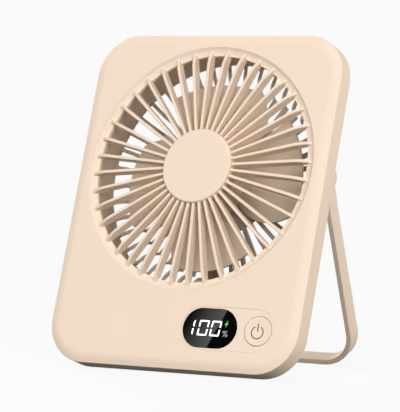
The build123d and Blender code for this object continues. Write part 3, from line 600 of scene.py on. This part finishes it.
# %% Cross recesses of the motor screws
motor_circle = 9.6
motor_head = -35.5
motor_turns = [math.radians(degrees) for degrees in (0, 120, 240)]
motor_heads = [
    (motor_circle * math.cos(turn), motor_circle * math.sin(turn), motor_head) for turn in motor_turns
]
motor_cross = (2.4, 0.6, 0.6)
recessed_copy("motor_screws_crossed", "motor_screws", motor_heads, motor_cross)

# %% [markdown]
# The tongue of the charging socket carries two rows of gilded contacts. One strip is modelled, its
# edges are bevelled as on a stamped strip, and the rest are copies at an even pitch.

# %% Contacts of the charging socket
socket_x, socket_y = -58.4, -83.4
tongue_half = 0.35
contact_pitch = 0.5
contact_count = 12
contact_size = (0.26, 0.06, 4.0)
contact_bevel = 0.01
contact_depth = -19.5

bpy.ops.object.select_all(action="DESELECT")
bpy.ops.mesh.primitive_cube_add(size=1)
strip = bpy.context.object
strip.data.transform(Matrix.Diagonal((*contact_size, 1)))
bpy.ops.object.mode_set(mode="EDIT")
bpy.ops.mesh.select_all(action="SELECT")
bpy.ops.mesh.bevel(offset=contact_bevel, segments=1)
turn_outwards()
strips = []
for side in (-1, 1):
    for index in range(contact_count):
        strips.append(copy_of(strip, "strip"))
        x = socket_x + (index - (contact_count - 1) / 2) * contact_pitch
        strips[-1].data.transform(Matrix.Translation((x, socket_y + side * tongue_half, contact_depth)))
bpy.data.objects.remove(strip)
contacts = joined("socket_contacts", strips)
lay_on_face(contacts, gilt_finish, "base")
print("contacts have", len(contacts.data.polygons), "faces")

# %% [markdown]
# ## Studio
# The picture has soft light from above and in front, and some from both sides behind. Four large
# lamps and a dim world do that. The two lamps in front are kept out of the gloss, so that the window
# of the display stays dark from every side and its digits can be read.

# %% Lamps
def lamp(name, place, aim, size, power, in_gloss=True):
    """A square soft box; glossy parts mirror it unless in_gloss is off."""
    data = bpy.data.lights.new(name, "AREA")
    data.shape = "SQUARE"
    data.size = size
    data.energy = power
    box = bpy.data.objects.new(name, data)
    bpy.context.scene.collection.objects.link(box)
    box.location = place
    box.rotation_euler = (aim - Vector(place)).to_track_quat("-Z", "Y").to_euler()
    box.visible_glossy = in_gloss
    print(name, "stands", round((aim - Vector(place)).length, 2), "m away")


fan_middle = on_body(0, -20, -10)
lamp("key_lamp", (-0.5, -3.1, 2.3), fan_middle, size=2.2, power=91, in_gloss=False)
lamp("side_lamp", (2.8, 1.3, 0.35), fan_middle, size=1.8, power=44)
lamp("fill_lamp", (2.3, -1.9, 0.75), fan_middle, size=1.2, power=47, in_gloss=False)
lamp("back_lamp", (-2.6, 1.7, 1.3), fan_middle, size=1.8, power=100)

# %% [markdown]
# The window of the display mirrors two cards that meet in a slanting line: a black one, and a pale one
# that fades to dark away from that line. A mirror image is easy to place: the line of sight to each
# end of the slanting line is reflected at the face, and the edge that the cards share passes through
# the two reflected lines.

# %% Edge that the cards share
gloss_ends = [on_body(31.9, -78.2, lens_front), on_body(23.7, -97.4, lens_front)]
black_side = on_body(44.0, -87.4, lens_front)
card_distance = 0.12


def mirrored(point):
    """Where the line of sight through a point of the face goes after its reflection."""
    sight = (point - camera_place).normalized()
    return point + (sight - 2 * sight.dot(out_of_face) * out_of_face) * card_distance


edge_top, edge_low = [mirrored(point) for point in gloss_ends]
edge_middle = (edge_top + edge_low) / 2
along = (edge_top - edge_low) * 2
across = (mirrored(black_side) - edge_middle) * 3
square_off = across - across.project(along)
print("cards meet at", [round(value, 3) for value in edge_middle])

# %% Black card
def studio_card(name, reach, finish):
    """A card from the shared edge outwards, which only glossy parts see."""
    near = (edge_middle + along, edge_middle - along)
    mesh = bpy.data.meshes.new(name)
    mesh.from_pydata((near[0], near[1], near[1] + reach, near[0] + reach), [], [(0, 1, 2, 3)])
    mesh.materials.append(finish)
    card = bpy.data.objects.new(name, mesh)
    bpy.context.scene.collection.objects.link(card)
    card.visible_camera = False
    card.visible_diffuse = False
    card.visible_shadow = False
    print(name, "is", round(reach.length, 3), "m wide")


studio_card("black_card", across, new_finish("black_card", (6, 6, 6), 0.9)[0])

# %% [markdown]
# The pale card glows by itself. How far a point of it lies from the shared edge is a dot product with
# the direction away from that edge, and the glow falls with that distance.

# %% Pale card
fade_length = 0.0185
fade_bright, fade_dark = 2.0, 0.1


def fading_glow(name, direction):
    """A glow that fades away from the shared edge."""
    material = bpy.data.materials.new(name)
    material.use_nodes = True
    tree = material.node_tree
    tree.nodes.remove(tree.nodes["Principled BSDF"])
    place = tree.nodes.new("ShaderNodeTexCoord")
    from_edge = tree.nodes.new("ShaderNodeVectorMath")
    from_edge.operation = "SUBTRACT"
    from_edge.inputs[1].default_value = edge_middle
    away = tree.nodes.new("ShaderNodeVectorMath")
    away.operation = "DOT_PRODUCT"
    away.inputs[1].default_value = direction
    fade = tree.nodes.new("ShaderNodeMapRange")
    fade.inputs["From Max"].default_value = fade_length
    fade.inputs["To Min"].default_value = fade_bright
    fade.inputs["To Max"].default_value = fade_dark
    glow = tree.nodes.new("ShaderNodeEmission")
    tree.links.new(place.outputs["Object"], from_edge.inputs[0])
    tree.links.new(from_edge.outputs["Vector"], away.inputs[0])
    tree.links.new(away.outputs["Value"], fade.inputs["Value"])
    tree.links.new(fade.outputs["Result"], glow.inputs["Strength"])
    tree.links.new(glow.outputs[0], tree.nodes["Material Output"].inputs["Surface"])
    return material


studio_card("pale_card", -square_off, fading_glow("pale_card", -square_off.normalized()))

# %% [markdown]
# The background is a plain white that must not light the fan. The world is white where the camera
# sees it, directly, in a mirror or through glass, and dim for all other light.

# %% World
ground_white = 0.955
ambient = 0.2


def seen_directly(tree):
    """1 for what the camera sees, also in a mirror or through glass, and 0 for light on matte parts."""
    path = tree.nodes.new("ShaderNodeLightPath")
    seen = path.outputs["Is Camera Ray"]
    for kind in ("Is Glossy Ray", "Is Transmission Ray"):
        either = tree.nodes.new("ShaderNodeMath")
        either.operation = "MAXIMUM"
        tree.links.new(seen, either.inputs[0])
        tree.links.new(path.outputs[kind], either.inputs[1])
        seen = either.outputs[0]
    return seen


world = bpy.data.worlds.new("studio")
bpy.context.scene.world = world
world.use_nodes = True
backdrop = world.node_tree.nodes["Background"]
backdrop.inputs["Color"].default_value = (1, 1, 1, 1)
level = world.node_tree.nodes.new("ShaderNodeMapRange")
level.inputs["To Min"].default_value = ambient
level.inputs["To Max"].default_value = ground_white
world.node_tree.links.new(seen_directly(world.node_tree), level.inputs["Value"])
world.node_tree.links.new(level.outputs["Result"], backdrop.inputs["Strength"])
print("world shows", ground_white, "and lights with", ambient)

# %% [markdown]
# The ground is a disc whose rim melts into the background. What the camera sees of it is mostly a
# steady white, with a smaller part that takes the light of the lamps and so keeps the shadow of the
# fan.

# %% Ground
ground_radius = 0.9
ground_corners = 96
shaded_part = 0.06
steady_part = 0.9
melt_start, melt_stop = 0.12, 0.45


def steady_glow(tree, strength):
    """A glow of the given strength that only shows and lights nothing."""
    glow = tree.nodes.new("ShaderNodeEmission")
    shown = tree.nodes.new("ShaderNodeMath")
    shown.operation = "MULTIPLY"
    shown.inputs[1].default_value = strength
    tree.links.new(seen_directly(tree), shown.inputs[0])
    tree.links.new(shown.outputs[0], glow.inputs["Strength"])
    return glow.outputs[0]


def pale_ground(name):
    """White that keeps a faint shadow and melts into the background at its rim."""
    material = bpy.data.materials.new(name)
    material.use_nodes = True
    tree = material.node_tree
    tree.nodes.remove(tree.nodes["Principled BSDF"])
    matte = tree.nodes.new("ShaderNodeBsdfDiffuse")
    matte.inputs["Color"].default_value = (shaded_part, shaded_part, shaded_part, 1)
    together = tree.nodes.new("ShaderNodeAddShader")
    tree.links.new(matte.outputs[0], together.inputs[0])
    tree.links.new(steady_glow(tree, steady_part), together.inputs[1])
    place = tree.nodes.new("ShaderNodeTexCoord")
    reach = tree.nodes.new("ShaderNodeVectorMath")
    reach.operation = "LENGTH"
    melt = tree.nodes.new("ShaderNodeMapRange")
    melt.interpolation_type = "SMOOTHSTEP"
    melt.inputs["From Min"].default_value = melt_start
    melt.inputs["From Max"].default_value = melt_stop
    tree.links.new(place.outputs["Object"], reach.inputs[0])
    tree.links.new(reach.outputs["Value"], melt.inputs["Value"])
    blend = tree.nodes.new("ShaderNodeMixShader")
    tree.links.new(melt.outputs["Result"], blend.inputs["Fac"])
    tree.links.new(together.outputs[0], blend.inputs[1])
    tree.links.new(steady_glow(tree, ground_white), blend.inputs[2])
    tree.links.new(blend.outputs[0], tree.nodes["Material Output"].inputs["Surface"])
    return material


bpy.ops.object.select_all(action="DESELECT")
bpy.ops.mesh.primitive_circle_add(vertices=ground_corners, radius=ground_radius, fill_type="NGON")
ground = bpy.context.object
ground.name = "ground"
ground.data.materials.append(pale_ground("pale_ground"))
bpy.context.scene.view_settings.view_transform = "Standard"
print("ground is", 2 * ground_radius, "m across")
